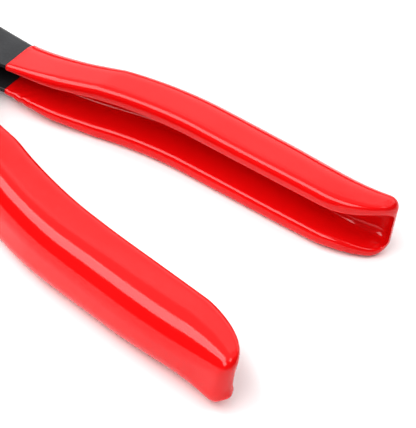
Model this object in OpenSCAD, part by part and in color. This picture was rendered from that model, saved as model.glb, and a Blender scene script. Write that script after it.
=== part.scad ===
// Self-locking hose clamp pliers: two stamped channel arms crossing at a riveted pivot,
// a notched lock bar between them, swivel jaws at the tips and dipped grips on the handles.
// Frame: pivot axis on Z through the origin, jaws towards +X, handles towards -X,
// Z = 0 is the flat underside that the tool rests on. Handles are drawn at rest, open.

/* [Steel arms] */
// Thickness of the sheet that both arms are pressed from
steel_t = 2; // [1.6:0.1:2.4]
// Outside height of the channels along the grips
channel_h = 14.5; // [14:0.1:17.5]
// Width of the channel from its back to its lips
channel_w = 11.9; // [10.5:0.1:13]
// Distance of the lips from the handle's middle line
lip_reach = 5.4; // [5:0.1:6]
// Length of each steel arm behind the pivot, along its middle line
handle_l = 140.6; // [118:0.1:170]
// Angle of each handle from the tool's middle line at the pivot
handle_angle = 19.3; // [18:0.1:21]
// Angle that each handle turns back by, so that the grips run nearly parallel
bend_angle = 15.3; // [10:0.1:16]
// Radius of that bend, along the middle line
bend_r = 100; // [60:5:125]
// Distance behind the pivot where the bend starts
bend_start = 62; // [56:1:70]
// Half width of the arms round the pivot
boss_r = 13; // [12:0.5:14]
// Distance of the straight shoulder behind the pivot from the tool's middle line
shoulder_y = 20.8; // [19:0.1:21.5]
// How much the arm is narrowed on its lip side at the neck
neck_waist = 2.4; // [0:0.1:2.5]
// Where the lips start to come out from the neck, behind the pivot
waist_start = 30; // [28:1:34]
// Length over which they come out
waist_l = 22; // [16:1:30]
// How much less the back stands out where the bend starts than along the grip
back_waist = 1.9; // [0:0.1:2.2]
// Where the back starts to stand out more, behind the pivot
back_start = 48; // [44:1:56]
// Length over which it does
back_l = 45; // [30:1:50]
// How much the back comes in again towards the handle's end
end_taper = 1.25; // [0:0.05:1.5]
// Length over which it comes in
end_taper_l = 32; // [20:1:40]
// Radius of the back corner at the handle's end
end_corner_r = 1.6; // [1:0.1:3]
// Length over which the lip sweeps out to the handle's end
end_sweep = 15.6; // [12:0.1:20]
// Shape of that sweep: 2 is an ellipse, less is straighter
end_shape = 1.7; // [1.5:0.05:2]
// Where the back wall of the outer channel starts, behind the pivot
outer_web_start = 34; // [33:0.5:35]
// Where the back wall of the inner channel starts, behind the pivot
inner_web_start = 23; // [22:1:26]
// Where the narrow neck of the inner arm starts to open out, behind the pivot
flare_start = 36; // [34:1:42]
// Length over which the neck opens out to the full channel height
flare_l = 24; // [20:1:36]

/* [Dipped grips] */
// Thickness of the vinyl on the outside of the channel
vinyl_out = 1.4; // [1:0.1:1.6]
// Thickness of the vinyl on the inside of the channel and on its lips
vinyl_in = 1.1; // [0.8:0.1:1.3]
// Thickness of the vinyl at the dip line
vinyl_start = 0.5; // [0.4:0.1:0.8]
// Distance of the dip line behind the pivot, along the grip's own direction
dip_start = 36; // [36:0.5:42]
// Length over which the vinyl grows to its full thickness
dip_ramp = 16; // [10:1:24]
// Thickness of the vinyl that closes the open end of each channel
end_wall = 2.4; // [1.8:0.1:3]

/* [Pivot] */
// Radius of the pivot rivet's shank
rivet_r = 4; // [3:0.1:4.8]
// Wall of the bush that the inner arm turns on
bush_wall = 1.5; // [1:0.1:2]
// Radius of the pivot rivet's heads
rivet_head_r = 8.5; // [7.5:0.1:10]
// Height of the formed head on the upper side
rivet_dome_h = 2.2; // [1.5:0.1:3]
// Thickness of the washer under the formed head
head_washer_t = 1; // [0.8:0.1:1.4]
// Radius of the washers beside the inner arm and under the formed head
washer_r = 10.5; // [9.5:0.1:12]
// Thickness of the washers beside the inner arm
side_washer_t = 0.55; // [0.4:0.05:0.8]
// Gap between pieces that turn on each other
running_gap = 0.05; // [0.02:0.01:0.1]
// Gap beside a washer
face_gap = 0.025; // [0.02:0.005:0.1]

/* [Return spring] */
// Radius of the spring's wire
spring_wire_r = 0.7; // [0.5:0.05:0.75]
// Number of turns in the spring's coil
spring_turns = 3; // [2:1:3]
// Gap between the spring's coil and the bush
spring_gap = 0.5; // [0.3:0.1:1]
// Distance of the spring's post from the pivot
post_dist = 17; // [16.5:0.1:18]
// Angle of the spring's post from the tool's middle line
post_angle = 40; // [38:1:44]
// Radius of the spring's post
post_r = 1.2; // [1:0.1:1.4]

/* [Lock] */
// Distance of the lock bar's middle line from the pivot
lock_r = 27; // [26:0.5:28]
// Width of the lock bar
lock_w = 5.2; // [4.8:0.1:5.6]
// Thickness of the lock bar
lock_t = 2.5; // [2:0.1:3]
// Angle between neighbouring notches
notch_pitch = 5; // [4.5:0.25:5.25]
// Number of notches from the rest pose to fully closed
notches_closed = 4; // [2:1:4]
// Number of notches from the rest pose to fully open
notches_open = 2; // [0:1:2]
// Radius of the catch pin
catch_r = 1.05; // [0.9:0.05:1.1]
// Depth of the catch pin in a notch
notch_depth = 0.9; // [0.7:0.05:1]
// Angle that the lock bar swings to reach the catch pin
lock_swing = 9; // [8:0.5:10]
// Radius of the rivet that the lock bar turns on
lock_rivet_r = 2; // [1.8:0.1:2.2]

/* [Jaws] */
// Distance of the swivel jaws ahead of the pivot
jaw_reach = 64; // [56:1:76]
// Gap between the jaws' faces at rest
jaw_gap = 30; // [24:0.5:36]
// Angle of each jaw arm from the tool's middle line, at its tip
jaw_tilt = 7; // [4:0.5:9]
// Half width of the jaw arms at their tips
tip_half_w = 4.5; // [4:0.1:5.5]
// Radius of a swivel jaw
swivel_r = 6; // [5:0.1:7]
// Length of a swivel jaw
swivel_l = 7; // [6:0.1:9]
// Radius of a swivel jaw's stem
stem_r = 2.5; // [2:0.1:3]
// Width of the slot across a swivel jaw
slot_w = 3; // [2:0.1:4]
// Depth of that slot
slot_d = 3.5; // [2:0.1:4]
// Thickness of the washer behind a swivel jaw
jaw_washer_t = 0.8; // [0.5:0.1:1.2]
// Thickness of the clip that holds a swivel jaw
clip_t = 0.9; // [0.7:0.1:1.2]
// Radius of the rivets that hold the jaw blocks
block_rivet_r = 1.5; // [1.2:0.1:1.6]

/* [Hidden] */
$fn = 64;

steel_black = [0.17, 0.17, 0.18];
vinyl_red = [0.90, 0.10, 0.09];
zinc_grey = [0.62, 0.63, 0.64];
spring_grey = [0.45, 0.45, 0.46];

outer_side = 1;                                   // the outer arm's handle is at +Y
inner_side = -1;                                  // the inner arm's handle is at -Y
mid_z = vinyl_out + channel_h / 2;                // middle plane of both arms
steel_low = vinyl_out;                            // underside of the outer arm
steel_high = vinyl_out + channel_h;               // top of the outer arm
full_half = channel_h / 2;
neck_half = full_half - steel_t - side_washer_t - 2 * face_gap;
flare_end = flare_start + flare_l;
jaw_flare_start = boss_r + 5;
jaw_flare_end = jaw_reach - 18;
handle_back = channel_w - lip_reach;              // middle line to the channel's back
end_back = handle_back - end_taper;               // the same at the handle's end
bend_end = bend_start + bend_r * bend_angle * PI / 180;
pin_head_t = 0.8;                                 // height of the small rivets' and pins' heads
far = 400;                                        // longer than anything here

// ---- middle line of a handle: s runs back from the pivot, n points away from the tool's middle line
function heading(s) = handle_angle - bend_angle * min(1, max(0, (s - bend_start) / (bend_end - bend_start)));
function along(a, d) = d * [cos(a), sin(a)];
function middle(s) =
    s <= bend_start ? along(handle_angle, s) :
    s <= bend_end ? along(handle_angle, bend_start)
        + bend_r * [sin(handle_angle) - sin(heading(s)), cos(heading(s)) - cos(handle_angle)] :
    middle(bend_end) + along(handle_angle - bend_angle, s - bend_end);
function place(s, n, side) =
    let (p = middle(s) + n * [-sin(heading(s)), cos(heading(s))]) [-p[0], side * p[1]];
function smooth(t) = let (c = min(1, max(0, t))) c * c * (3 - 2 * c);
function soft_max(a, b, k) = (a + b + sqrt((a - b) * (a - b) + k * k)) / 2;

// Distance of the back edge and of the lip edge from the middle line
function shoulder(s) = (shoulder_y - s * sin(handle_angle)) / cos(handle_angle);
function plain_back(s) = handle_back - back_waist * (1 - smooth((s - back_start) / back_l))
    - end_taper * smooth((s - handle_l + end_taper_l) / (end_taper_l - 2));
function back_edge(s) = min(boss_r, soft_max(plain_back(s), shoulder(s), 2));
function lip_edge(s) = lip_reach - neck_waist * (1 - smooth((s - waist_start) / waist_l))
    + 0.25 * max(0, waist_start - s);
// Vinyl thickness along the handle, from its thin start to its full value
function coat(s, full) = vinyl_start + (full - vinyl_start) * smooth((s - dip_start) / dip_ramp);

// Places along the handle where an outline needs a point
function stations(from) = concat([from],
    [for (s = [4 : 4 : bend_start - 1]) if (s > from) s],
    [for (i = [0 : 8]) bend_start + (bend_end - bend_start) * i / 8],
    [for (i = [1 : 4]) bend_end + (handle_l - end_sweep - bend_end) * i / 5]);
function end_stations() = [for (i = [0 : 3]) handle_l - end_sweep + (end_sweep - end_corner_r) * i / 4];

// Outline of a handle from s = from to its end, grown by the coat on the back, the lips and the end
function handle_outline(from, side, out, lips) =
    let (grow = out > 0 ? 1 : 0,
        top = function (s) back_edge(s) + grow * coat(s, vinyl_out),
        low = function (s) lip_edge(s) + grow * coat(s, vinyl_in),
        end = handle_l + out,
        corner = end_corner_r + out,
        reach = end_back + out - corner,
        bow = 2 / end_shape,
        st = stations(from))
    concat(
        [for (s = concat(st, end_stations())) place(s, top(s), side)],
        [for (a = [90 : -15 : 0]) place(end - corner + corner * cos(a), reach + corner * sin(a), side)],
        [for (a = [7.5 : 7.5 : 90])
            place(end - (end_sweep + out) * (1 - pow(cos(a), bow)),
                reach - (reach + lip_reach + lips) * pow(sin(a), bow), side)],
        [for (i = [len(st) - 1 : -1 : 0]) place(st[i], -low(st[i]), side)]);

// Inside of a channel from s = from to s = end, bounded by the back wall and open past the lips
function hollow_outline(from, side, wall, end) =
    concat(
        [for (s = concat(stations(from), end_stations(), [end])) place(s, back_edge(s) - wall, side)],
        [place(end, -lip_reach - 6, side), place(from, -lip_edge(from) - 6, side)]);

// Middle line of a jaw arm: a cubic curve from the pivot to the swivel jaw
swivel_face = tip_half_w + jaw_washer_t + 2 * face_gap + swivel_l;
jaw_tip = [jaw_reach, jaw_gap / 2 + swivel_face * cos(jaw_tilt)];
jaw_pull = 26;
jaw_knots = [[0, 0], along(34, jaw_pull), jaw_tip - along(jaw_tilt, jaw_pull - 2), jaw_tip];
function jaw_mid(t) = let (k = jaw_knots, u = 1 - t)
    u * u * u * k[0] + 3 * u * u * t * k[1] + 3 * u * t * t * k[2] + t * t * t * k[3];
function jaw_turn(t) = let (k = jaw_knots, u = 1 - t,
    d = u * u * (k[1] - k[0]) + 2 * u * t * (k[2] - k[1]) + t * t * (k[3] - k[2])) atan2(d[1], d[0]);
function jaw_half(t) = tip_half_w + (boss_r - 2 - tip_half_w) * pow(1 - t, 2);
function jaw_outline(side) = let (flip = function (p) [p[0], -side * p[1]])
    concat(
        [for (t = [0 : 0.1 : 1]) flip(jaw_mid(t) + along(jaw_turn(t) + 90, jaw_half(t)))],
        [for (a = [90 : -15 : -90])
            flip(jaw_tip + along(jaw_tilt, 4.5) + along(jaw_tilt + a, tip_half_w))],
        [for (t = [1 : -0.1 : 0]) flip(jaw_mid(t) - along(jaw_turn(t) + 90, jaw_half(t)))]);

// Half height of the inner arm along X, less a depth below its outer face
function inner_heights(depth) = [
    [-far, full_half - depth], [-flare_end, full_half - depth], [-flare_start, neck_half - depth],
    [jaw_flare_start, neck_half - depth], [jaw_flare_end, full_half - depth], [far, full_half - depth]];
// The same for the outside of the inner grip, which grows from its thin start
function grip_heights() = let (rise = function (v) lookup(v, [[flare_start, neck_half], [flare_end, full_half]])) [
    [-far, full_half + vinyl_out], [-flare_end, full_half + vinyl_out],
    [-dip_start - dip_ramp, rise(dip_start + dip_ramp) + vinyl_out],
    [-dip_start, rise(dip_start) + vinyl_start], [0, neck_half + vinyl_start]];
function low_side(pts) = [for (i = [len(pts) - 1 : -1 : 0]) [pts[i][0], -pts[i][1]]];
module along_x(pts) {
    translate([0, 0, mid_z]) rotate([90, 0, 0]) linear_extrude(height = far, center = true) polygon(pts);
}

// ---- pieces of an arm
module arm_plan(side) {
    polygon(handle_outline(0, side, 0, 0));
    circle(r = boss_r);
    polygon(jaw_outline(side));
}
module web_plan(side, from) {
    difference() {
        polygon(handle_outline(from, side, 0, 0));
        polygon(hollow_outline(from - 1, side, steel_t, handle_l + 1));
    }
}
module slab(z0, z1) {
    translate([0, 0, z0]) linear_extrude(height = z1 - z0) children();
}
module pin_hole(at, r) {
    translate([at[0], at[1], -far / 2]) cylinder(r = r, h = far);
}
post_at = [-post_dist * cos(post_angle), post_dist * sin(post_angle)];
catch_dist = lock_r + lock_w / 2 - notch_depth + catch_r;
catch_at = [-catch_dist * cos(handle_angle), catch_dist * sin(handle_angle)];
lock_at = [-lock_r * cos(handle_angle), -lock_r * sin(handle_angle)];
block_rivet_gap = stem_r + block_rivet_r + 1.4;
function jaw_frame_point(side, a, b) =
    let (p = jaw_tip + along(jaw_tilt, a) - along(jaw_tilt + 90, b)) [p[0], -side * p[1]];
module jaw_holes(side) {
    for (a = [-block_rivet_gap, block_rivet_gap]) pin_hole(jaw_frame_point(side, a, 0), block_rivet_r);
}
bush_r = rivet_r + bush_wall;

module outer_arm() {
    color(steel_black) difference() {
        union() {
            slab(steel_low, steel_low + steel_t) arm_plan(outer_side);
            slab(steel_high - steel_t, steel_high) arm_plan(outer_side);
            slab(steel_low, steel_high) web_plan(outer_side, outer_web_start);
        }
        pin_hole([0, 0], rivet_r);
        pin_hole(post_at, post_r);
        pin_hole(catch_at, catch_r);
        jaw_holes(outer_side);
    }
}
module inner_shape() {
    intersection() {
        slab(0, steel_high + 1) arm_plan(inner_side);
        union() {
            along_x(concat(inner_heights(0), [for (i = [5 : -1 : 0]) inner_heights(steel_t)[i]]));
            along_x(low_side(concat(inner_heights(0), [for (i = [5 : -1 : 0]) inner_heights(steel_t)[i]])));
        }
    }
    intersection() {
        slab(0, steel_high + 1) web_plan(inner_side, inner_web_start);
        along_x(concat(inner_heights(0), low_side(inner_heights(0))));
    }
}
module inner_arm() {
    color(steel_black) difference() {
        inner_shape();
        pin_hole([0, 0], bush_r + running_gap);
        pin_hole(lock_at, lock_rivet_r);
        jaw_holes(inner_side);
    }
}

// ---- dipped grips: a vinyl skin over both faces, the lips and the end of each channel
// The dip line lies square to the grip's own direction
module grip_plan(side) {
    intersection() {
        polygon(handle_outline(dip_start - 6, side, vinyl_out, vinyl_in));
        rotate(180 - side * (handle_angle - bend_angle)) translate([dip_start, -far / 2]) square(far);
    }
}
module grip_hollow_plan(side) {
    polygon(hollow_outline(dip_start - 8, side, steel_t + vinyl_in, handle_l + vinyl_out - end_wall));
}
module outer_grip() {
    color(vinyl_red) difference() {
        slab(0, steel_high + vinyl_out) grip_plan(outer_side);
        slab(steel_low + steel_t + vinyl_in, steel_high - steel_t - vinyl_in) grip_hollow_plan(outer_side);
        slab(steel_low, steel_low + steel_t) arm_plan(outer_side);
        slab(steel_high - steel_t, steel_high) arm_plan(outer_side);
        slab(steel_low, steel_high) web_plan(outer_side, outer_web_start);
    }
}
module inner_grip() {
    color(vinyl_red) difference() {
        intersection() {
            slab(0, steel_high + vinyl_out) grip_plan(inner_side);
            along_x(concat(grip_heights(), low_side(grip_heights())));
        }
        intersection() {
            slab(0, steel_high) grip_hollow_plan(inner_side);
            along_x(concat(inner_heights(steel_t + vinyl_in), low_side(inner_heights(steel_t + vinyl_in))));
        }
        inner_shape();
    }
}

// ---- pivot
module pivot_rivet() {
    color(zinc_grey) {
        cylinder(r = rivet_r, h = steel_high + head_washer_t + 0.5);
        difference() {
            cylinder(r = rivet_head_r, h = steel_low);
            rotate_extrude() translate([rivet_head_r, 0]) rotate(45) square(0.8, center = true);
        }
        translate([0, 0, steel_high + head_washer_t]) rotate_extrude() polygon(concat([[0, 0], [rivet_head_r - 1.5, 0]],
            [for (a = [0 : 15 : 90]) [(rivet_head_r - 1.5) * cos(a) , rivet_dome_h * (0.25 + 0.75 * sin(a))]]));
    }
}
module pivot_bush() {
    color(zinc_grey) translate([0, 0, steel_low + steel_t]) difference() {
        cylinder(r = bush_r, h = channel_h - 2 * steel_t);
        translate([0, 0, -1]) cylinder(r = rivet_r, h = channel_h);
    }
}
module ring(z, r, hole, t) {
    translate([0, 0, z]) difference() {
        cylinder(r = r, h = t);
        translate([0, 0, -1]) cylinder(r = hole, h = t + 2);
    }
}
module head_washer() {
    color(zinc_grey) ring(steel_high, rivet_head_r, rivet_r, head_washer_t);
}
module side_washers() {
    color(zinc_grey) {
        ring(steel_low + steel_t + face_gap, washer_r, bush_r + running_gap, side_washer_t);
        ring(steel_high - steel_t - face_gap - side_washer_t, washer_r, bush_r + running_gap, side_washer_t);
    }
}

// ---- return spring: a close coil on the bush, one leg on the inner arm's back wall, one on the post
turn_press = 0.06;                                // how far each turn presses on the next
coil_room = 2 * (neck_half - steel_t) - 2 * face_gap; // between the inner arm's cheeks
wire_r = min(spring_wire_r, (coil_room + turn_press * (spring_turns - 1)) / (2 * spring_turns));
coil_r = bush_r + spring_gap + wire_r;
coil_pitch = 2 * wire_r - turn_press;
coil_low = mid_z - coil_pitch * (spring_turns - 1) / 2;
coil_high = mid_z + coil_pitch * (spring_turns - 1) / 2;
module rod(from, to, z, r) {
    d = to - from;
    translate([from[0], from[1], z]) rotate([0, 90, atan2(d[1], d[0])]) cylinder(r = r, h = norm(d));
}
wall_touch = [-inner_web_start - 3, -(shoulder_y - steel_t - wire_r - 0.3)];
wall_leg_angle = atan2(wall_touch[1], wall_touch[0]) + acos(coil_r / norm(wall_touch));
leg_r = wire_r - 0.05;
post_leg_turn = asin((coil_r + post_r + leg_r + face_gap) / post_dist);
post_leg_angle = 180 - post_angle + post_leg_turn; // direction of the leg that passes beside the post
post_leg_l = post_dist * cos(post_leg_turn) + post_r + 1;
module return_spring() {
    color(spring_grey) {
        rotate_extrude() for (i = [0 : spring_turns - 1])
            translate([coil_r, coil_low + i * coil_pitch]) circle(r = wire_r);
        rod(along(wall_leg_angle, coil_r), wall_touch, coil_low, leg_r);
        rod(along(post_leg_angle - 90, coil_r),
            along(post_leg_angle - 90, coil_r) + along(post_leg_angle, post_leg_l), coil_high, leg_r);
    }
}
module cross_pin(at, r, head_r) {
    translate([at[0], at[1], steel_low]) cylinder(r = r, h = channel_h);
    for (z = [steel_low - pin_head_t, steel_high]) translate([at[0], at[1], z]) cylinder(r = head_r, h = pin_head_t);
}
module spring_post() {
    color(zinc_grey) cross_pin(post_at, post_r, post_r + pin_head_t);
}
module catch_pin() {
    color(zinc_grey) cross_pin(catch_at, catch_r, catch_r + pin_head_t);
}

// ---- lock bar: swings on a rivet in the inner arm, notches meet the catch pin of the outer arm
lock_low = mid_z - lock_t / 2;
lock_high = mid_z + lock_t / 2;
notch_from = 2 * handle_angle - notch_pitch * notches_closed;   // angle from the rivet to the nearest notch
notch_count = notches_closed + notches_open + 1;
lock_end = notch_from + notch_pitch * notch_count;
lock_boss_r = lock_rivet_r + 1.8;
tab_t = 2.4;                                      // the thumb tab's thickness
tab_lip = 2.2;                                    // how far it stands past the bar's faces
neck_low = mid_z - neck_half + steel_t;
neck_high = mid_z + neck_half - steel_t;
module lock_bar() {
    // drawn where it meets the pin, then swung clear towards the pivot
    color(spring_grey) translate([lock_at[0], lock_at[1], 0]) rotate(-lock_swing) translate([-lock_at[0], -lock_at[1], 0])
    difference() {
        union() {
            slab(lock_low, lock_high) polygon(concat(
                [for (a = [0 : 4 : lock_end]) along(180 + handle_angle - a, lock_r + lock_w / 2)],
                [for (a = [lock_end : -4 : 0]) along(180 + handle_angle - a, lock_r - lock_w / 2)]));
            translate([lock_at[0], lock_at[1], lock_low]) cylinder(r = lock_boss_r, h = lock_t);
            // thumb tab on the free end
            rotate(180 + handle_angle - lock_end)
                translate([lock_r - lock_w / 2 - 0.5, -tab_t + 0.6, lock_low - tab_lip])
                    cube([lock_w + 1, tab_t, lock_t + 2 * tab_lip]);
        }
        pin_hole(lock_at, lock_rivet_r + running_gap);
        for (i = [0 : notch_count - 1])
            pin_hole(along(180 + handle_angle - notch_from - i * notch_pitch, catch_dist), catch_r + 2 * running_gap);
    }
}
module lock_rivet() {
    color(zinc_grey) translate([lock_at[0], lock_at[1], 0]) {
        translate([0, 0, mid_z - neck_half]) cylinder(r = lock_rivet_r, h = 2 * neck_half);
        for (z = [mid_z - neck_half - pin_head_t, mid_z + neck_half])
            translate([0, 0, z]) cylinder(r = lock_rivet_r + 1.1, h = pin_head_t);
    }
}
module lock_spacer() {
    color(zinc_grey) translate([lock_at[0], lock_at[1], 0])
        ring(neck_low, lock_rivet_r + 1.4, lock_rivet_r, lock_low - neck_low - face_gap);
}
module lock_wave_washer() {
    color(spring_grey) translate([lock_at[0], lock_at[1], 0])
        ring(lock_high + face_gap, lock_rivet_r + 1.4, lock_rivet_r, neck_high - lock_high - face_gap);
}

// ---- jaws: local frame at the tip, +X along the jaw arm, +Y towards the other jaw, Z up
module at_jaw(side) {
    p = jaw_frame_point(side, 0, 0);
    translate([p[0], p[1], mid_z]) mirror([0, side > 0 ? 0 : 1, 0]) rotate(-jaw_tilt) children();
}
module toward(y0, y1, r) {
    translate([0, y0, 0]) rotate([-90, 0, 0]) cylinder(r = r, h = y1 - y0);
}
block_half = full_half - steel_t;
block_l = 2 * (block_rivet_gap + block_rivet_r + 1);
module jaw_block(side) {
    at_jaw(side) difference() {
        translate([-block_l / 2, -tip_half_w, -block_half]) cube([block_l, 2 * tip_half_w, 2 * block_half]);
        toward(-tip_half_w - 1, tip_half_w + 1, stem_r + running_gap);
        for (a = [-block_rivet_gap, block_rivet_gap])
            translate([a, 0, -far / 2]) cylinder(r = block_rivet_r, h = far);
    }
}
module block_rivets(side) {
    at_jaw(side) for (a = [-block_rivet_gap, block_rivet_gap]) translate([a, 0, 0]) {
        translate([0, 0, -full_half]) cylinder(r = block_rivet_r, h = channel_h);
        for (z = [-full_half - pin_head_t, full_half])
            translate([0, 0, z]) cylinder(r = block_rivet_r + 1.1, h = pin_head_t);
    }
}
head_from = tip_half_w + jaw_washer_t + 2 * face_gap;
stem_end = -tip_half_w - clip_t - 1.4;
module swivel_jaw(side) {
    at_jaw(side) difference() {
        union() {
            toward(stem_end, head_from + 1, stem_r);
            toward(head_from, head_from + swivel_l, swivel_r);
        }
        // slot for one ear of the clamp, and a vee across it for wire clamps
        translate([-swivel_r - 1, swivel_face - slot_d, -slot_w / 2]) cube([2 * swivel_r + 2, slot_d + 1, slot_w]);
        translate([0, swivel_face, 0]) rotate(45)
            translate([-slot_w / 2, -slot_w / 2, -swivel_r - 1]) cube([slot_w, slot_w, 2 * swivel_r + 2]);
        // groove that the clip snaps into
        translate([0, -tip_half_w - face_gap, 0]) rotate([90, 0, 0]) difference() {
            cylinder(r = stem_r + 1, h = clip_t + 0.1);
            translate([0, 0, -1]) cylinder(r = stem_r - 0.5, h = clip_t + 3);
        }
    }
}
module jaw_washer(side) {
    at_jaw(side) difference() {
        toward(tip_half_w + face_gap, tip_half_w + face_gap + jaw_washer_t, swivel_r - 0.6);
        toward(tip_half_w - 1, head_from + 1, stem_r + running_gap);
    }
}
module jaw_clip(side) {
    at_jaw(side) translate([0, -tip_half_w - face_gap - 0.05, 0]) rotate([90, 0, 0]) difference() {
        cylinder(r = stem_r + 1.6, h = clip_t);
        translate([0, 0, -1]) cylinder(r = stem_r - 0.45, h = clip_t + 2);
        translate([-1.1, 0, -1]) cube([2.2, stem_r + 3, clip_t + 2]);
    }
}
module outer_jaw_block() { color(steel_black) jaw_block(outer_side); }
module outer_block_rivets() { color(zinc_grey) block_rivets(outer_side); }
module outer_swivel_jaw() { color(zinc_grey) swivel_jaw(outer_side); }
module outer_jaw_washer() { color(zinc_grey) jaw_washer(outer_side); }
module outer_jaw_clip() { color(spring_grey) jaw_clip(outer_side); }
module inner_jaw_block() { color(steel_black) jaw_block(inner_side); }
module inner_block_rivets() { color(zinc_grey) block_rivets(inner_side); }
module inner_swivel_jaw() { color(zinc_grey) swivel_jaw(inner_side); }
module inner_jaw_washer() { color(zinc_grey) jaw_washer(inner_side); }
module inner_jaw_clip() { color(spring_grey) jaw_clip(inner_side); }

outer_arm();
inner_arm();
outer_grip();
inner_grip();
pivot_rivet();
pivot_bush();
head_washer();
side_washers();
return_spring();
spring_post();
catch_pin();
lock_bar();
lock_rivet();
lock_spacer();
lock_wave_washer();
outer_jaw_block();
outer_block_rivets();
outer_swivel_jaw();
outer_jaw_washer();
outer_jaw_clip();
inner_jaw_block();
inner_block_rivets();
inner_swivel_jaw();
inner_jaw_washer();
inner_jaw_clip();
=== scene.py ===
import math
import bmesh
import bpy
from mathutils import Matrix, Vector, noise


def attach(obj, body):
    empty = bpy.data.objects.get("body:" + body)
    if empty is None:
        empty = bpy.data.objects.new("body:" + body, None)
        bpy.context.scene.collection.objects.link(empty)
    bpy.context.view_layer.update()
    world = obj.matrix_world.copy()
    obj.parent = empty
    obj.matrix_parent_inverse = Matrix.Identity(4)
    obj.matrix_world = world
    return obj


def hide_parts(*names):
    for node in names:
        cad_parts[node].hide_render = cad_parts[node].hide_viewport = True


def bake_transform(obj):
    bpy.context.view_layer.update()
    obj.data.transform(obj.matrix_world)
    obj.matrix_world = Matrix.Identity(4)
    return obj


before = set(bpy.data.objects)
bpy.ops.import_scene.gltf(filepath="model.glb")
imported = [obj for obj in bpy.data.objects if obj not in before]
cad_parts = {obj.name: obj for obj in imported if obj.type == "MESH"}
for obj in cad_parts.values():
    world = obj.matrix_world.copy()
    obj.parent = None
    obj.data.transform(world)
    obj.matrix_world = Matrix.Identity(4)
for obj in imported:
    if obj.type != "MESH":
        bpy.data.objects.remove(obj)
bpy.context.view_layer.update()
mm = 0.001

# ---- camera, floor and lights
studio = {
    "cameraPlace": (-259.7 * mm, 261.3 * mm, 317.3 * mm),
    "cameraForward": (0.36081, -0.61035, -0.70518), "cameraUp": (0.48856, -0.52037, 0.70037),
    "lens": 154.9, "roomColor": (1.0, 0.99, 0.99), "roomStrength": 0.10,
    "floorSize": 4.0, "floorColor": (0.93, 0.925, 0.925), "floorShade": 0.995,
}
softboxes = {
    "overheadBox": {"place": (0.12, 0.33, 0.60), "size": (1.30, 0.36), "power": 7.2},
    "backCard": {"place": (0.26, -1.43, 0.85), "size": (3.0, 0.95), "power": 12.0},
    "backCardFadeA": {"place": (0.17, -1.07, 1.24), "size": (3.0, 0.13), "power": 1.15},
    "backCardFadeB": {"place": (0.155, -0.96, 1.29), "size": (3.0, 0.16), "power": 0.95},
    "topBox": {"place": (-0.10, -0.32, 1.50), "size": (2.4, 1.4), "power": 6.8},
    "sideBox": {"place": (-0.63, -0.22, 0.95), "size": (0.40, 0.50), "power": 1.9},
}
gripCentre = Vector((-97 * mm, 0, 10 * mm))


def makeCamera(s):
    data = bpy.data.cameras.new("viewCamera")
    camera = bpy.data.objects.new("viewCamera", data)
    bpy.context.collection.objects.link(camera)
    away = -Vector(s["cameraForward"]).normalized()
    up = Vector(s["cameraUp"])
    up = (up - up.dot(away) * away).normalized()
    camera.matrix_world = Matrix((up.cross(away), up, away)).transposed().to_4x4()
    camera.location = s["cameraPlace"]
    data.lens = s["lens"]
    data.clip_start = 0.01
    bpy.context.scene.camera = camera


def makeSoftbox(name, s):
    data = bpy.data.lights.new(name, "AREA")
    data.shape = "RECTANGLE"
    data.size, data.size_y = s["size"]
    data.energy = s["power"]
    lamp = bpy.data.objects.new(name, data)
    bpy.context.collection.objects.link(lamp)
    lamp.location = s["place"]
    lamp.rotation_euler = (gripCentre - Vector(s["place"])).to_track_quat("-Z", "Y").to_euler()


makeCamera(studio)
bpy.context.scene.view_settings.view_transform = "Standard"
bpy.context.scene.view_settings.look = "Medium High Contrast"
world = bpy.data.worlds.new("paleRoom")
world.use_nodes = True
world.node_tree.nodes["Background"].inputs[0].default_value = (*studio["roomColor"], 1)
world.node_tree.nodes["Background"].inputs[1].default_value = studio["roomStrength"]
bpy.context.scene.world = world
for name, settings in softboxes.items():
    makeSoftbox(name, settings)
print("camera and lights are in place")


# ---- materials
class Sock:
    def __init__(self, finish, socket):
        self.finish = finish
        self.socket = socket

    def calc(self, operation, a, b):
        return self.finish.node("ShaderNodeMath", {"operation": operation}, {0: a, 1: b})

    def __add__(self, other):
        return self.calc("ADD", self, other)

    def __radd__(self, other):
        return self.calc("ADD", other, self)

    def __sub__(self, other):
        return self.calc("SUBTRACT", self, other)

    def __rsub__(self, other):
        return self.calc("SUBTRACT", other, self)

    def __mul__(self, other):
        return self.calc("MULTIPLY", self, other)

    def __rmul__(self, other):
        return self.calc("MULTIPLY", other, self)


class Finish:
    def __init__(self, name, settings):
        self.material = bpy.data.materials.new(name)
        self.material.use_nodes = True
        self.nodes = self.material.node_tree.nodes
        self.links = self.material.node_tree.links
        self.shader = self.nodes["Principled BSDF"]
        for socket, value in settings.items():
            self.shader.inputs[socket].default_value = value

    def node(self, kind, settings=None, sockets=None, out=0):
        made = self.nodes.new(kind)
        for key, value in (settings or {}).items():
            setattr(made, key, value)
        for key, value in (sockets or {}).items():
            self.put(made.inputs[key], value)
        return Sock(self, made.outputs[out])

    def put(self, target, value):
        if isinstance(value, Sock):
            self.links.new(value.socket, target)
        else:
            target.default_value = value

    def feed(self, name, value):
        self.put(self.shader.inputs[name], value)

    def cloud(self, scale, detail=3, rough=0.5):
        place = self.node("ShaderNodeTexCoord", out=3)
        return self.node("ShaderNodeTexNoise", None, {
            "Vector": place, "Scale": scale, "Detail": detail, "Roughness": rough})

    def blend(self, mask, a, b):
        return self.node("ShaderNodeMix", {"data_type": "RGBA"}, {0: mask, 6: a, 7: b}, out=2)

    def span(self, value, low, high, to0=0.0, to1=1.0):
        return self.node("ShaderNodeMapRange", None, {0: value, 1: low, 2: high, 3: to0, 4: to1})

    def height(self, value, distance, strength=1.0):
        self.feed("Normal", self.node("ShaderNodeBump", None, {
            "Height": value, "Distance": distance, "Strength": strength}))


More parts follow.
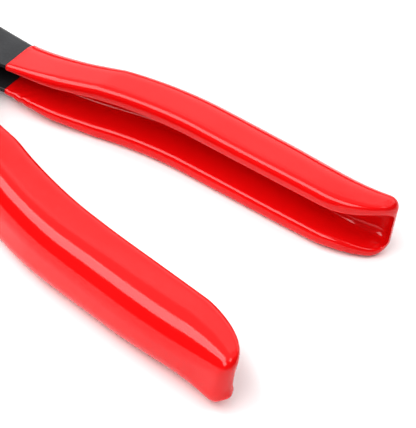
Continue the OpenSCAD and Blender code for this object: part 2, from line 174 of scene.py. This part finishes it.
def metalFinish(s):
    f = Finish(s["name"], {"Metallic": s["metallic"]})
    fine = f.cloud(s["grain"], 4, 0.65)
    broad = f.cloud(s["grain"] * 0.07, 3)
    mask = f.span(0.5 * broad + 0.5 * fine, 0.36, 0.66)
    f.feed("Base Color", f.blend(mask, (*s["dark"], 1), (*s["light"], 1)))
    f.feed("Roughness", f.span(fine, 0.25, 0.75, *s["rough"]))
    f.height(fine, s["bump"], 0.6)
    return f.material


vinyl = {
    "bright": (0.76, 0.007, 0.008), "deep": (0.70, 0.004, 0.005), "rough": (0.09, 0.15),
    "ior": 1.5, "specular": 0.4, "bump": 0.06 * mm, "bumpStrength": 0.5,
    "patches": 28, "grain": 420, "ripple": 130, "pores": 1100, "poreShare": 0.18,
}


def dippedVinyl(v):
    f = Finish("dippedVinyl", {"IOR": v["ior"], "Specular IOR Level": v["specular"]})
    patches = f.span(f.cloud(v["patches"], 2), 0.3, 0.7)
    f.feed("Base Color", f.blend(patches, (*v["bright"], 1), (*v["deep"], 1)))
    f.feed("Roughness", f.span(f.cloud(v["grain"], 3), 0.3, 0.7, *v["rough"]))
    ripple = f.cloud(v["ripple"], 2) + v["poreShare"] * f.cloud(v["pores"], 3)
    f.height(ripple, v["bump"], v["bumpStrength"])
    return f.material


metals = {
    "black": {"name": "blackSteel", "dark": (0.022, 0.023, 0.026), "light": (0.050, 0.050, 0.053),
              "rough": (0.34, 0.5), "metallic": 0.3, "grain": 1500, "bump": 0.02 * mm},
    "zinc": {"name": "zincPlate", "dark": (0.36, 0.37, 0.39), "light": (0.50, 0.50, 0.49),
             "rough": (0.28, 0.46), "metallic": 1.0, "grain": 2200, "bump": 0.01 * mm},
    "turned": {"name": "turnedSteel", "dark": (0.32, 0.32, 0.33), "light": (0.46, 0.46, 0.46),
               "rough": (0.27, 0.45), "metallic": 1.0, "grain": 1800, "bump": 0.02 * mm},
    "spring": {"name": "springWire", "dark": (0.20, 0.20, 0.20), "light": (0.33, 0.32, 0.31),
               "rough": (0.2, 0.36), "metallic": 1.0, "grain": 1500, "bump": 0.01 * mm},
    "lock": {"name": "lockSteel", "dark": (0.26, 0.26, 0.27), "light": (0.40, 0.40, 0.40),
             "rough": (0.28, 0.45), "metallic": 1.0, "grain": 1300, "bump": 0.01 * mm},
}
finishes = {key: metalFinish(settings) for key, settings in metals.items()}
finishes["vinyl"] = dippedVinyl(vinyl)
print("materials are made")

# ---- the handles' shape, shared by the steel channels and their dipped grips
handle = {
    "angle": 19.3, "bend": 15.3, "bendRadius": 100 * mm, "bendStart": 62 * mm, "length": 140.6 * mm,
    "back": 6.5 * mm, "lip": 5.4 * mm, "halfHeight": 7.25 * mm, "sheet": 2 * mm, "boss": 13 * mm,
    "shoulder": 20.8 * mm, "shoulderSoft": 2 * mm, "waist": 2.4 * mm, "waistFrom": 30 * mm,
    "waistLength": 22 * mm, "backWaist": 1.9 * mm, "backFrom": 48 * mm, "backRise": 45 * mm,
    "endTaper": 1.25 * mm, "endTaperLength": 32 * mm, "sweep": 15.6 * mm, "steelEnd": 131.6 * mm,
    "endShape": 1.7, "neckHalf": 4.65 * mm, "flareStart": 36 * mm, "flareLength": 24 * mm,
    "dipStart": 36 * mm, "dipRamp": 16 * mm, "coatOut": 1.4 * mm, "coatIn": 1.1 * mm,
    "coatStart": 0.5 * mm, "middleZ": 8.65 * mm, "bendOuter": 4.6 * mm, "bendEnd": 5.6 * mm,
    "bendInner": 1.4 * mm, "sheetEdge": 0.3 * mm, "toeFrom": 112 * mm, "toeLength": 25 * mm,
    "endWall": 1.3 * mm, "endLip": 2.5 * mm, "thinning": 13 * mm, "dish": 0.8 * mm, "dishLength": 18 * mm,
    "belly": 1.2 * mm, "bellyFrom": 49 * mm, "bellyRise": 11 * mm, "bellyFade": 68 * mm,
    "bellyLength": 34 * mm, "bellyLoss": 0.75, "neckSpread": 0.25, "bendGrowth": 60 * mm,
    "lipRound": 0.49, "lipInside": 0.36, "leastHollow": 0.02 * mm, "taperFlat": 2 * mm,
}
# what differs between the outer arm's handle (1) and the inner arm's (-1)
own = {
    1: {"corner": 1.6 * mm, "endRound": 2.6 * mm, "endLow": 5.0 * mm,
        "endLowRise": 7.0 * mm, "toeRise": 1.4 * mm},
    -1: {"corner": 2.8 * mm, "endRound": 3.0 * mm, "endLow": 3.0 * mm,
         "endLowRise": 4.0 * mm, "toeRise": 0.5 * mm},
}
settling = {
    "height": 0.10 * mm, "length": 14 * mm, "wrinkleAt": 42.5 * mm, "wrinkleSpread": 3.2 * mm,
    "wrinkleLength": 0.42 * mm, "wrinkleHeight": 0.22 * mm,
    "drip": 0.8 * mm, "dripWidth": 1.5 * mm, "dripAt": (142 * mm, 4 * mm, 5.8 * mm),
}
h = handle
h["bendStop"] = h["bendStart"] + h["bendRadius"] * math.radians(h["bend"])


def smooth(t):
    t = min(1.0, max(0.0, t))
    return t * t * (3 - 2 * t)


def heading(s):
    share = min(1.0, max(0.0, (s - h["bendStart"]) / (h["bendStop"] - h["bendStart"])))
    return math.radians(h["angle"] - h["bend"] * share)


def middle(s):
    start = math.radians(h["angle"])
    straight = min(s, h["bendStart"]) * Vector((math.cos(start), math.sin(start)))
    turn = heading(s)
    arc = h["bendRadius"] * Vector((math.sin(start) - math.sin(turn), math.cos(turn) - math.cos(start)))
    beyond = max(0.0, s - h["bendStop"])
    return straight + arc + beyond * Vector((math.cos(turn), math.sin(turn)))


def onPlan(s, n, side):
    p = middle(s) + n * Vector((-math.sin(heading(s)), math.cos(heading(s))))
    return Vector((-p.x, side * p.y, 0))


def backEdge(s):
    start = math.radians(h["angle"])
    shoulder = (h["shoulder"] - s * math.sin(start)) / math.cos(start)
    plain = h["back"] - h["backWaist"] * (1 - smooth((s - h["backFrom"]) / h["backRise"]))
    taperFrom = h["length"] - h["endTaperLength"]
    plain -= h["endTaper"] * smooth((s - taperFrom) / (h["endTaperLength"] - h["taperFlat"]))
    edge = (plain + shoulder + math.hypot(plain - shoulder, h["shoulderSoft"])) / 2
    return min(h["boss"], edge)


def lipEdge(s, side):
    opening = smooth((s - h["waistFrom"]) / h["waistLength"])
    edge = h["lip"] - h["waist"] * (1 - opening) + h["neckSpread"] * max(0.0, h["waistFrom"] - s)
    if side > 0:
        rise = smooth((s - h["bellyFrom"]) / h["bellyRise"])
        edge += h["belly"] * rise * (1 - h["bellyLoss"] * smooth((s - h["bellyFade"]) / h["bellyLength"]))
    return edge


def heightShare(x, side):
    if side > 0:
        return 1.0
    share = min(1.0, max(0.0, (-x - h["flareStart"]) / h["flareLength"]))
    return (h["neckHalf"] + (h["halfHeight"] - h["neckHalf"]) * share) / h["halfHeight"]


def coat(s, full):
    return h["coatStart"] + (full - h["coatStart"]) * smooth((s - h["dipStart"]) / h["dipRamp"])


def roundedSection(corners):
    # each corner: place (depth, height), fillet radius, points round it, points along the side after it
    ring = []
    count = len(corners)
    for i, (corner, radius, fillet, along) in enumerate(corners):
        here = Vector(corner)
        nextCorner = Vector(corners[(i + 1) % count][0])
        before = turns[i - 1] * -1
        after = turns[i]
        centre = here + (before + after) * radius
        for k in range(fillet):
            t = math.pi / 2 * k / (fillet - 1)
            ring.append(centre - after * radius * math.cos(t) - before * radius * math.sin(t))
        start = here + after * radius
        end = nextCorner - after * corners[(i + 1) % count][1]
        for k in range(1, along + 1):
            ring.append(start.lerp(end, k / (along + 1)))
    return ring


# Directions of the channel's eight sides, in (depth, height), going round from the lower back corner
turns = [Vector(t) for t in ((0, 1), (1, 0), (0, -1), (-1, 0), (0, -1), (1, 0), (0, -1), (-1, 0))]


def channelRing(depth, half, rim, hollow, bend, lipOut, inner):
    lipIn = min(lipOut, h["lipInside"] * rim, 0.45 * hollow)
    inner = min(inner, 0.95 * hollow - lipIn, 0.9 * (half - rim))
    bend = min(bend, 0.5 * depth)
    lipOut = min(lipOut, 0.45 * depth)
    gap = half - rim
    return roundedSection([
        ((0, -half), bend, 9, 8), ((0, half), bend, 9, 6),
        ((depth, half), lipOut, 8, 1), ((depth, gap), lipIn, 8, 6),
        ((depth - hollow, gap), inner, 6, 5), ((depth - hollow, -gap), inner, 6, 6),
        ((depth, -gap), lipIn, 8, 1), ((depth, -half), lipOut, 8, 6)])


def dipFlow(spot, s, p, depth, side):
    # the vinyl set a little unevenly, and wrinkled on the inner grip's lower lip near the dip line
    flow = settling["height"] * smooth((s - h["dipStart"]) / h["dipRamp"])
    push = Vector((0, 0, flow * noise.noise(spot / settling["length"])))
    if side < 0 and p.y < 0:
        near = math.exp(-((s - settling["wrinkleAt"]) / settling["wrinkleSpread"]) ** 2)
        lipward = smooth((p.x - 0.55 * depth) / (0.4 * depth))
        wave = math.sin((s + 0.8 * p.x) / settling["wrinkleLength"])
        push.z += settling["wrinkleHeight"] * near * lipward * wave
    if side > 0:
        # a drip set on the outer grip's end
        at, spread = onPlan(*settling["dripAt"][:2], side), settling["dripWidth"]
        at.z = settling["dripAt"][2]
        push.x -= settling["drip"] * math.exp(-(spot - at).length_squared / spread ** 2)
    return push


def sectionAt(sBack, sLip, side, skin):
    # skin: 1 is the outside of the vinyl, 0 is the steel under it
    s = (sBack + sLip) / 2
    mine = own[side]
    out, inside = skin * coat(s, h["coatOut"]), skin * coat(s, h["coatIn"])
    end = h["length"] + skin * h["coatOut"]
    corner = mine["corner"] + skin * h["coatOut"]
    sweep = h["sweep"] + skin * h["coatOut"]
    reach = h["back"] - h["endTaper"] - mine["corner"]
    back = backEdge(sBack) + out
    if sBack > end - corner:
        back = reach + math.sqrt(max(0.0, corner ** 2 - (sBack - end + corner) ** 2))
    lip = -(lipEdge(sLip, side) + inside)
    if sLip > end - sweep:
        part = max(0.0, 1 - (end - sLip) / sweep)
        fall = max(0.0, 1 - part ** h["endShape"]) ** (1 / h["endShape"])
        lip = reach - (reach - lip) * fall
    backPoint, lipPoint = onPlan(sBack, back, side), onPlan(sLip, lip, side)
    depth = (lipPoint - backPoint).length
    across = (lipPoint - backPoint) / max(depth, 1e-9)
    half = h["halfHeight"] + out
    # the end is rounded over, more so below, where the toe also rises a little
    near = max(0.0, s - (end - mine["endRound"])) / mine["endRound"]
    top = half - mine["endRound"] * (1 - math.sqrt(max(0.0, 1 - near * near)))
    near = max(0.0, s - (end - mine["endLow"])) / mine["endLow"]
    low = half - mine["endLowRise"] * (1 - math.sqrt(max(0.0, 1 - near * near)))
    low -= mine["toeRise"] * smooth((s - h["toeFrom"]) / h["toeLength"])
    # past the steel the web thins to the end's wall, and the hollow turns into a dish
    rim = h["sheet"] + out + inside
    thinned = skin * smooth((s - end + h["thinning"]) / (0.95 * h["thinning"]))
    hollow = max(h["leastHollow"], depth - rim + (rim - h["endWall"]) * thinned)
    rim -= (rim - h["endLip"]) * thinned
    dish = skin * h["dish"] * smooth((s - end + h["dishLength"]) / h["dishLength"])
    bending = smooth((s - h["bendStart"]) / h["bendGrowth"])
    bend = h["bendOuter"] + (h["bendEnd"] - h["bendOuter"]) * bending
    ring = channelRing(
        depth, half, rim, hollow, bend + out, h["lipRound"] * rim if skin else h["sheetEdge"],
        h["bendInner"] + 0.5 * inside + dish)
    placed = []
    for p in ring:
        flat = backPoint + across * p.x
        share = heightShare(flat.x, side)
        stretch = (top if p.y > 0 else low) / half
        spot = Vector((flat.x, flat.y, h["middleZ"] + p.y * share * stretch))
        placed.append(spot + dipFlow(spot, s, p, depth, side) if skin else spot)
    return placed


stations = {
    "crowdLength": 14 * mm, "crowd": 40, "spread": 84, "endLength": 12 * mm, "end": 24,
    "tipLength": 3 * mm, "tip": 16, "tipStop": 2.995 * mm, "beadSteps": (0.0, 0.06 * mm, 0.16 * mm),
    "squareBy": 60 * mm,
}


def stationRows(sBack, sLip, skin, startBead):
    # pairs of back and lip stations: slanted at the dip line, close together at both ends
    t = stations
    first = (sBack + sLip) / 2
    crowd = first + t["crowdLength"] if startBead else first
    end = h["length"] + h["coatOut"] if skin else h["steelEnd"]
    spread = end - t["endLength"]
    tip = end - t["tipLength"]
    along = []
    if startBead:
        along += [first + (crowd - first) * i / t["crowd"] for i in range(t["crowd"])]
    along += [crowd + (spread - crowd) * i / t["spread"] for i in range(t["spread"])]
    along += [spread + (tip - spread) * i / t["end"] for i in range(t["end"])]
    along += [tip + t["tipStop"] * math.sin(math.pi / 2 * i / t["tip"]) for i in range(t["tip"] + 1)]
    if startBead:
        along = [first + d for d in t["beadSteps"]] + along[1:]
    rows = []
    for s in along:
        keep = max(0.0, 1 - (s - first) / (t["squareBy"] - first))
        rows.append((s + (sBack - first) * keep, s + (sLip - first) * keep))
    return rows


def growTube(shape, rings):
    # a ring of points, extruded from station to station
    made = bmesh.ops.create_circle(shape, segments=len(rings[0]), radius=1.0)
    verts = made["verts"]
    edges = list({e for v in verts for e in v.link_edges})
    loops = [list(verts)]
    for v, p in zip(verts, rings[0]):
        v.co = p
    for ring in rings[1:]:
        grown = bmesh.ops.extrude_edge_only(shape, edges=edges)["geom"]
        newVerts = [g for g in grown if isinstance(g, bmesh.types.BMVert)]
        newSet = set(newVerts)
        newEdges = [g for g in grown if isinstance(g, bmesh.types.BMEdge) and newSet.issuperset(g.verts)]
        following = []
        for v in loops[-1]:
            following.append(next(e.other_vert(v) for e in v.link_edges if e.other_vert(v) in newSet))
        for v, p in zip(following, ring):
            v.co = p
        loops.append(following)
        edges = newEdges
    return loops


def capLoop(shape, loop):
    edges = [shape.edges.get((loop[i - 1], loop[i])) for i in range(len(loop))]
    made = bmesh.ops.contextual_create(shape, geom=edges)
    bmesh.ops.triangulate(shape, faces=made["faces"])


def finishPiece(name, shape, body, material, nodes, sharpAngle=40, weighted=True):
    bmesh.ops.recalc_face_normals(shape, faces=shape.faces)
    mesh = bpy.data.meshes.new(name)
    shape.to_mesh(mesh)
    shape.free()
    mesh.shade_smooth()
    mesh.set_sharp_from_angle(angle=math.radians(sharpAngle))
    piece = bpy.data.objects.new(name, mesh)
    bpy.context.collection.objects.link(piece)
    mesh.materials.append(material)
    if weighted:
        finishing = piece.modifiers.new("weightedNormals", "WEIGHTED_NORMAL")
        finishing.keep_sharp = True
    if body:
        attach(piece, body)
    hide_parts(*nodes)
    return piece


dipSlope = math.radians(h["bend"])
dipLine = {"backAt": 39 * mm, "lipAt": 36 * mm, "bead": (0.04, 0.52, 0.856), "sharpAngle": 50}


def dipStation(n):
    return (h["dipStart"] + n * math.sin(dipSlope)) / math.cos(dipSlope)


def makeGrip(name, side, body, node):
    backAt = dipStation(backEdge(dipLine["backAt"]) + h["coatStart"])
    lipAt = dipStation(-lipEdge(dipLine["lipAt"], side) - h["coatStart"])
    rows = stationRows(backAt, lipAt, 1, True)
    outside = []
    for i, (sBack, sLip) in enumerate(rows):
        ring = sectionAt(sBack, sLip, side, 1)
        if i < len(dipLine["bead"]):
            steel = sectionAt(sBack, sLip, side, 0)
            ring = [a.lerp(b, dipLine["bead"][i]) for a, b in zip(steel, ring)]
        outside.append(ring)
    steelRows = stationRows(backAt, lipAt, 0, False)
    inside = [sectionAt(sBack, sLip, side, 0) for sBack, sLip in steelRows]
    shape = bmesh.new()
    outer = growTube(shape, outside)
    inner = growTube(shape, inside)
    capLoop(shape, outer[-1])
    capLoop(shape, inner[-1])
    edges = []
    for loop in (outer[0], inner[0]):
        edges += [shape.edges.get((loop[i - 1], loop[i])) for i in range(len(loop))]
    bmesh.ops.bridge_loops(shape, edges=edges)
    return finishPiece(
        name, shape, body, finishes["vinyl"], [node], dipLine["sharpAngle"], False)


makeGrip("outerGripSkin", 1, "outer", "outer_grip")
makeGrip("innerGripSkin", -1, "inner", "inner_grip")
print("grips are dipped")

# ---- steel arms: flat cheeks and jaws, then a rounded channel down each handle
arms = {
    "edge": 0.3 * mm, "overlap": 1.5 * mm, "outerWebStart": 34 * mm, "innerWebStart": 23 * mm,
    "cheekDrop": 0.02 * mm, "weld": 0.002 * mm, "flatAngle": 0.6,
}


def softCopy(node, edge, segments=2, angle=35):
    shape = bmesh.new()
    shape.from_mesh(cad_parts[node].data)
    bmesh.ops.remove_doubles(shape, verts=shape.verts, dist=arms["weld"])
    bmesh.ops.dissolve_limit(
        shape, angle_limit=math.radians(arms["flatAngle"]),
        verts=shape.verts, edges=shape.edges, delimit={"NORMAL"})
    if edge:
        bevelSharp(shape, edge, segments, angle)
    return shape


def bevelSharp(shape, edge, segments=2, angle=35):
    sharp = [e for e in shape.edges if e.is_manifold and e.calc_face_angle() > math.radians(angle)]
    bmesh.ops.bevel(shape, geom=sharp, offset=edge, offset_type="OFFSET", affect="EDGES",
                    segments=segments, profile=0.5, material=-1, clamp_overlap=True)


def makeArm(name, side, body, node, webStart):
    shape = softCopy(node, None)
    cutAt = webStart + arms["overlap"]
    turn = heading(cutAt)
    normal = Vector((-math.cos(turn), side * math.sin(turn), 0))
    cut = onPlan(cutAt, 0, side)
    bmesh.ops.bisect_plane(
        shape, geom=shape.verts[:] + shape.edges[:] + shape.faces[:], dist=0.001 * mm,
        plane_co=cut, plane_no=normal, clear_outer=True)
    openEdges = [e for e in shape.edges if e.is_boundary]
    bmesh.ops.holes_fill(shape, edges=openEdges, sides=0)
    middleZ = Vector((0, 0, h["middleZ"]))
    bmesh.ops.translate(shape, verts=shape.verts, vec=-middleZ)
    bmesh.ops.scale(shape, verts=shape.verts, vec=(1, 1, 1 - arms["cheekDrop"] / h["halfHeight"]))
    bmesh.ops.translate(shape, verts=shape.verts, vec=middleZ)
    bevelSharp(shape, arms["edge"])
    rows = stationRows(webStart, webStart, 0, False)
    loops = growTube(shape, [sectionAt(a, b, side, 0) for a, b in rows])
    capLoop(shape, loops[-1])
    capLoop(shape, loops[0])
    return finishPiece(name, shape, body, finishes["black"], [node])


makeArm("outerArmSteel", 1, "outer", "outer_arm", arms["outerWebStart"])
makeArm("innerArmSteel", -1, "inner", "inner_arm", arms["innerWebStart"])
print("arms are formed")

# ---- hardware
hardware = {
    "pivotRivet": ("pivot_rivet", "outer", "zinc_hardware", "zinc", 0.25),
    "pivotBush": ("pivot_bush", "outer", "zinc_hardware", "zinc", 0.15),
    "headWasher": ("head_washer", "outer", "zinc_hardware", "zinc", 0.2),
    "sideWashers": ("side_washers", "outer", "zinc_hardware", "zinc", 0.1),
    "springPost": ("spring_post", "outer", "zinc_hardware", "zinc", 0.2),
    "catchPin": ("catch_pin", "outer", "zinc_hardware", "zinc", 0.2),
    "outerJawBlock": ("outer_jaw_block", "outer", "jaw_block_steel", "black", 0.4),
    "innerJawBlock": ("inner_jaw_block", "inner", "jaw_block_steel", "black", 0.4),
    "outerBlockRivets": ("outer_block_rivets", "outer", "zinc_hardware", "zinc", 0.25),
    "innerBlockRivets": ("inner_block_rivets", "inner", "zinc_hardware", "zinc", 0.25),
    "lockRivet": ("lock_rivet", "inner", "zinc_hardware", "zinc", 0.25),
    "lockSpacer": ("lock_spacer", "inner", "zinc_hardware", "zinc", 0.1),
    "lockBar": ("lock_bar", "lock", "lock_steel", "lock", 0.25),
    "outerSwivelJaw": ("outer_swivel_jaw", "outer_jaw", "jaw_steel", "turned", 0.3),
    "innerSwivelJaw": ("inner_swivel_jaw", "inner_jaw", "jaw_steel", "turned", 0.3),
    "outerJawWasher": ("outer_jaw_washer", "outer_jaw", "zinc_hardware", "zinc", 0.15),
    "innerJawWasher": ("inner_jaw_washer", "inner_jaw", "zinc_hardware", "zinc", 0.15),
    "outerJawClip": ("outer_jaw_clip", "outer_jaw", "spring_steel", "spring", 0.1),
    "innerJawClip": ("inner_jaw_clip", "inner_jaw", "spring_steel", "spring", 0.1),
}
for name, (node, body, slot, finish, edge) in hardware.items():
    finishPiece(name, softCopy(node, edge * mm), body, finishes[finish], [node])
print("hardware is softened")

# ---- return spring: one coil of close turns, a leg on the inner arm's wall and a leg on the post
spring = {
    "coil": 6.7 * mm, "wire": 0.66 * mm, "low": 7.31 * mm, "high": 9.99 * mm,
    "wall": (-26 * mm, -17.8 * mm), "legSteps": 8, "tipShare": 0.8, "sharpAngle": 50,
    "postAngle": 170.3, "postLeg": 16.9 * mm, "extraTurns": 2, "steps": 40, "around": 14,
    "bendFrom": (0, 0, 7.5 * mm), "bendTo": (0, 0, 9.8 * mm),
}


def springPath(s):
    wall = Vector(s["wall"])
    first = math.atan2(wall.y, wall.x) + math.acos(s["coil"] / wall.length)
    last = math.radians(s["postAngle"] - 90)
    sweep = (last - first) % (2 * math.pi) + 2 * math.pi * s["extraTurns"]
    steps = round(s["steps"] * sweep / (2 * math.pi))
    path = []
    start = s["coil"] * Vector((math.cos(first), math.sin(first)))
    for i in range(s["legSteps"]):
        path.append(wall.lerp(start, i / s["legSteps"]).to_3d() + Vector((0, 0, s["low"])))
    for i in range(steps + 1):
        turn = first + sweep * i / steps
        rise = s["low"] + (s["high"] - s["low"]) * i / steps
        path.append(Vector((s["coil"] * math.cos(turn), s["coil"] * math.sin(turn), rise)))
    ahead = math.radians(s["postAngle"])
    leaving = path[-1]
    for i in range(1, s["legSteps"] + 1):
        reach = s["postLeg"] * i / s["legSteps"]
        path.append(leaving + reach * Vector((math.cos(ahead), math.sin(ahead), 0)))
    return path


def wireRings(path, s):
    rings = []
    around = s["around"]
    for i, here in enumerate(path):
        along = (path[min(i + 1, len(path) - 1)] - path[max(i - 1, 0)]).normalized()
        flat = along.cross(Vector((0, 0, 1))).normalized()
        up = flat.cross(along)
        size = s["wire"] * (s["tipShare"] if i in (0, len(path) - 1) else 1)
        turnsRound = [2 * math.pi * k / around for k in range(around)]
        rings.append([here + size * (math.cos(t) * flat + math.sin(t) * up) for t in turnsRound])
    return rings


def makeSpring(s):
    shape = bmesh.new()
    loops = growTube(shape, wireRings(springPath(s), s))
    capLoop(shape, loops[0])
    capLoop(shape, loops[-1])
    piece = finishPiece(
        "returnSpring", shape, None, finishes["spring"], ["return_spring"],
        s["sharpAngle"])
    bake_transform(piece)


makeSpring(spring)

# ---- the lock's wave washer: a thin ring in three waves
waveWasher = {
    "centre": (-25.48 * mm, -8.92 * mm, 10.6 * mm), "inner": 1.9 * mm, "outer": 3.4 * mm,
    "sheet": 0.35 * mm, "wave": 0.42 * mm, "waves": 3, "steps": 72, "sharpAngle": 50,
}


def makeWaveWasher(w):
    shape = bmesh.new()
    size = (w["outer"] - w["inner"]) / 2
    middleOut = (w["outer"] + w["inner"]) / 2
    made = bmesh.ops.create_grid(shape, x_segments=3, y_segments=1, size=0.5)
    for v in made["verts"]:
        v.co = Vector((middleOut + 2 * v.co.x * size, 0, v.co.y * w["sheet"]))
    bmesh.ops.spin(shape, geom=shape.verts[:] + shape.edges[:] + shape.faces[:], cent=(0, 0, 0),
                   axis=(0, 0, 1), angle=2 * math.pi, steps=w["steps"], use_merge=True, use_duplicate=False)
    for v in shape.verts:
        v.co.z += w["wave"] * math.cos(w["waves"] * math.atan2(v.co.y, v.co.x))
    bmesh.ops.translate(shape, verts=shape.verts, vec=w["centre"])
    finishPiece("lockWaveWasher", shape, "inner", finishes["spring"],
                ["lock_wave_washer"], w["sharpAngle"])


makeWaveWasher(waveWasher)
print("springs are wound")


# ---- floor
def makeFloor(s):
    shape = bmesh.new()
    bmesh.ops.create_grid(shape, x_segments=1, y_segments=1, size=s["floorSize"])
    mesh = bpy.data.meshes.new("paleFloor")
    shape.to_mesh(mesh)
    shape.free()
    floor = bpy.data.objects.new("paleFloor", mesh)
    bpy.context.collection.objects.link(floor)
    f = Finish("paleFloor", {"Roughness": 0.6, "Specular IOR Level": 0.2})
    shaded = [c * s["floorShade"] for c in s["floorColor"]]
    f.feed("Base Color", f.blend(f.cloud(3, 2), (*s["floorColor"], 1), (*shaded, 1)))
    mesh.materials.append(f.material)


makeFloor(studio)
print("everything is in place")
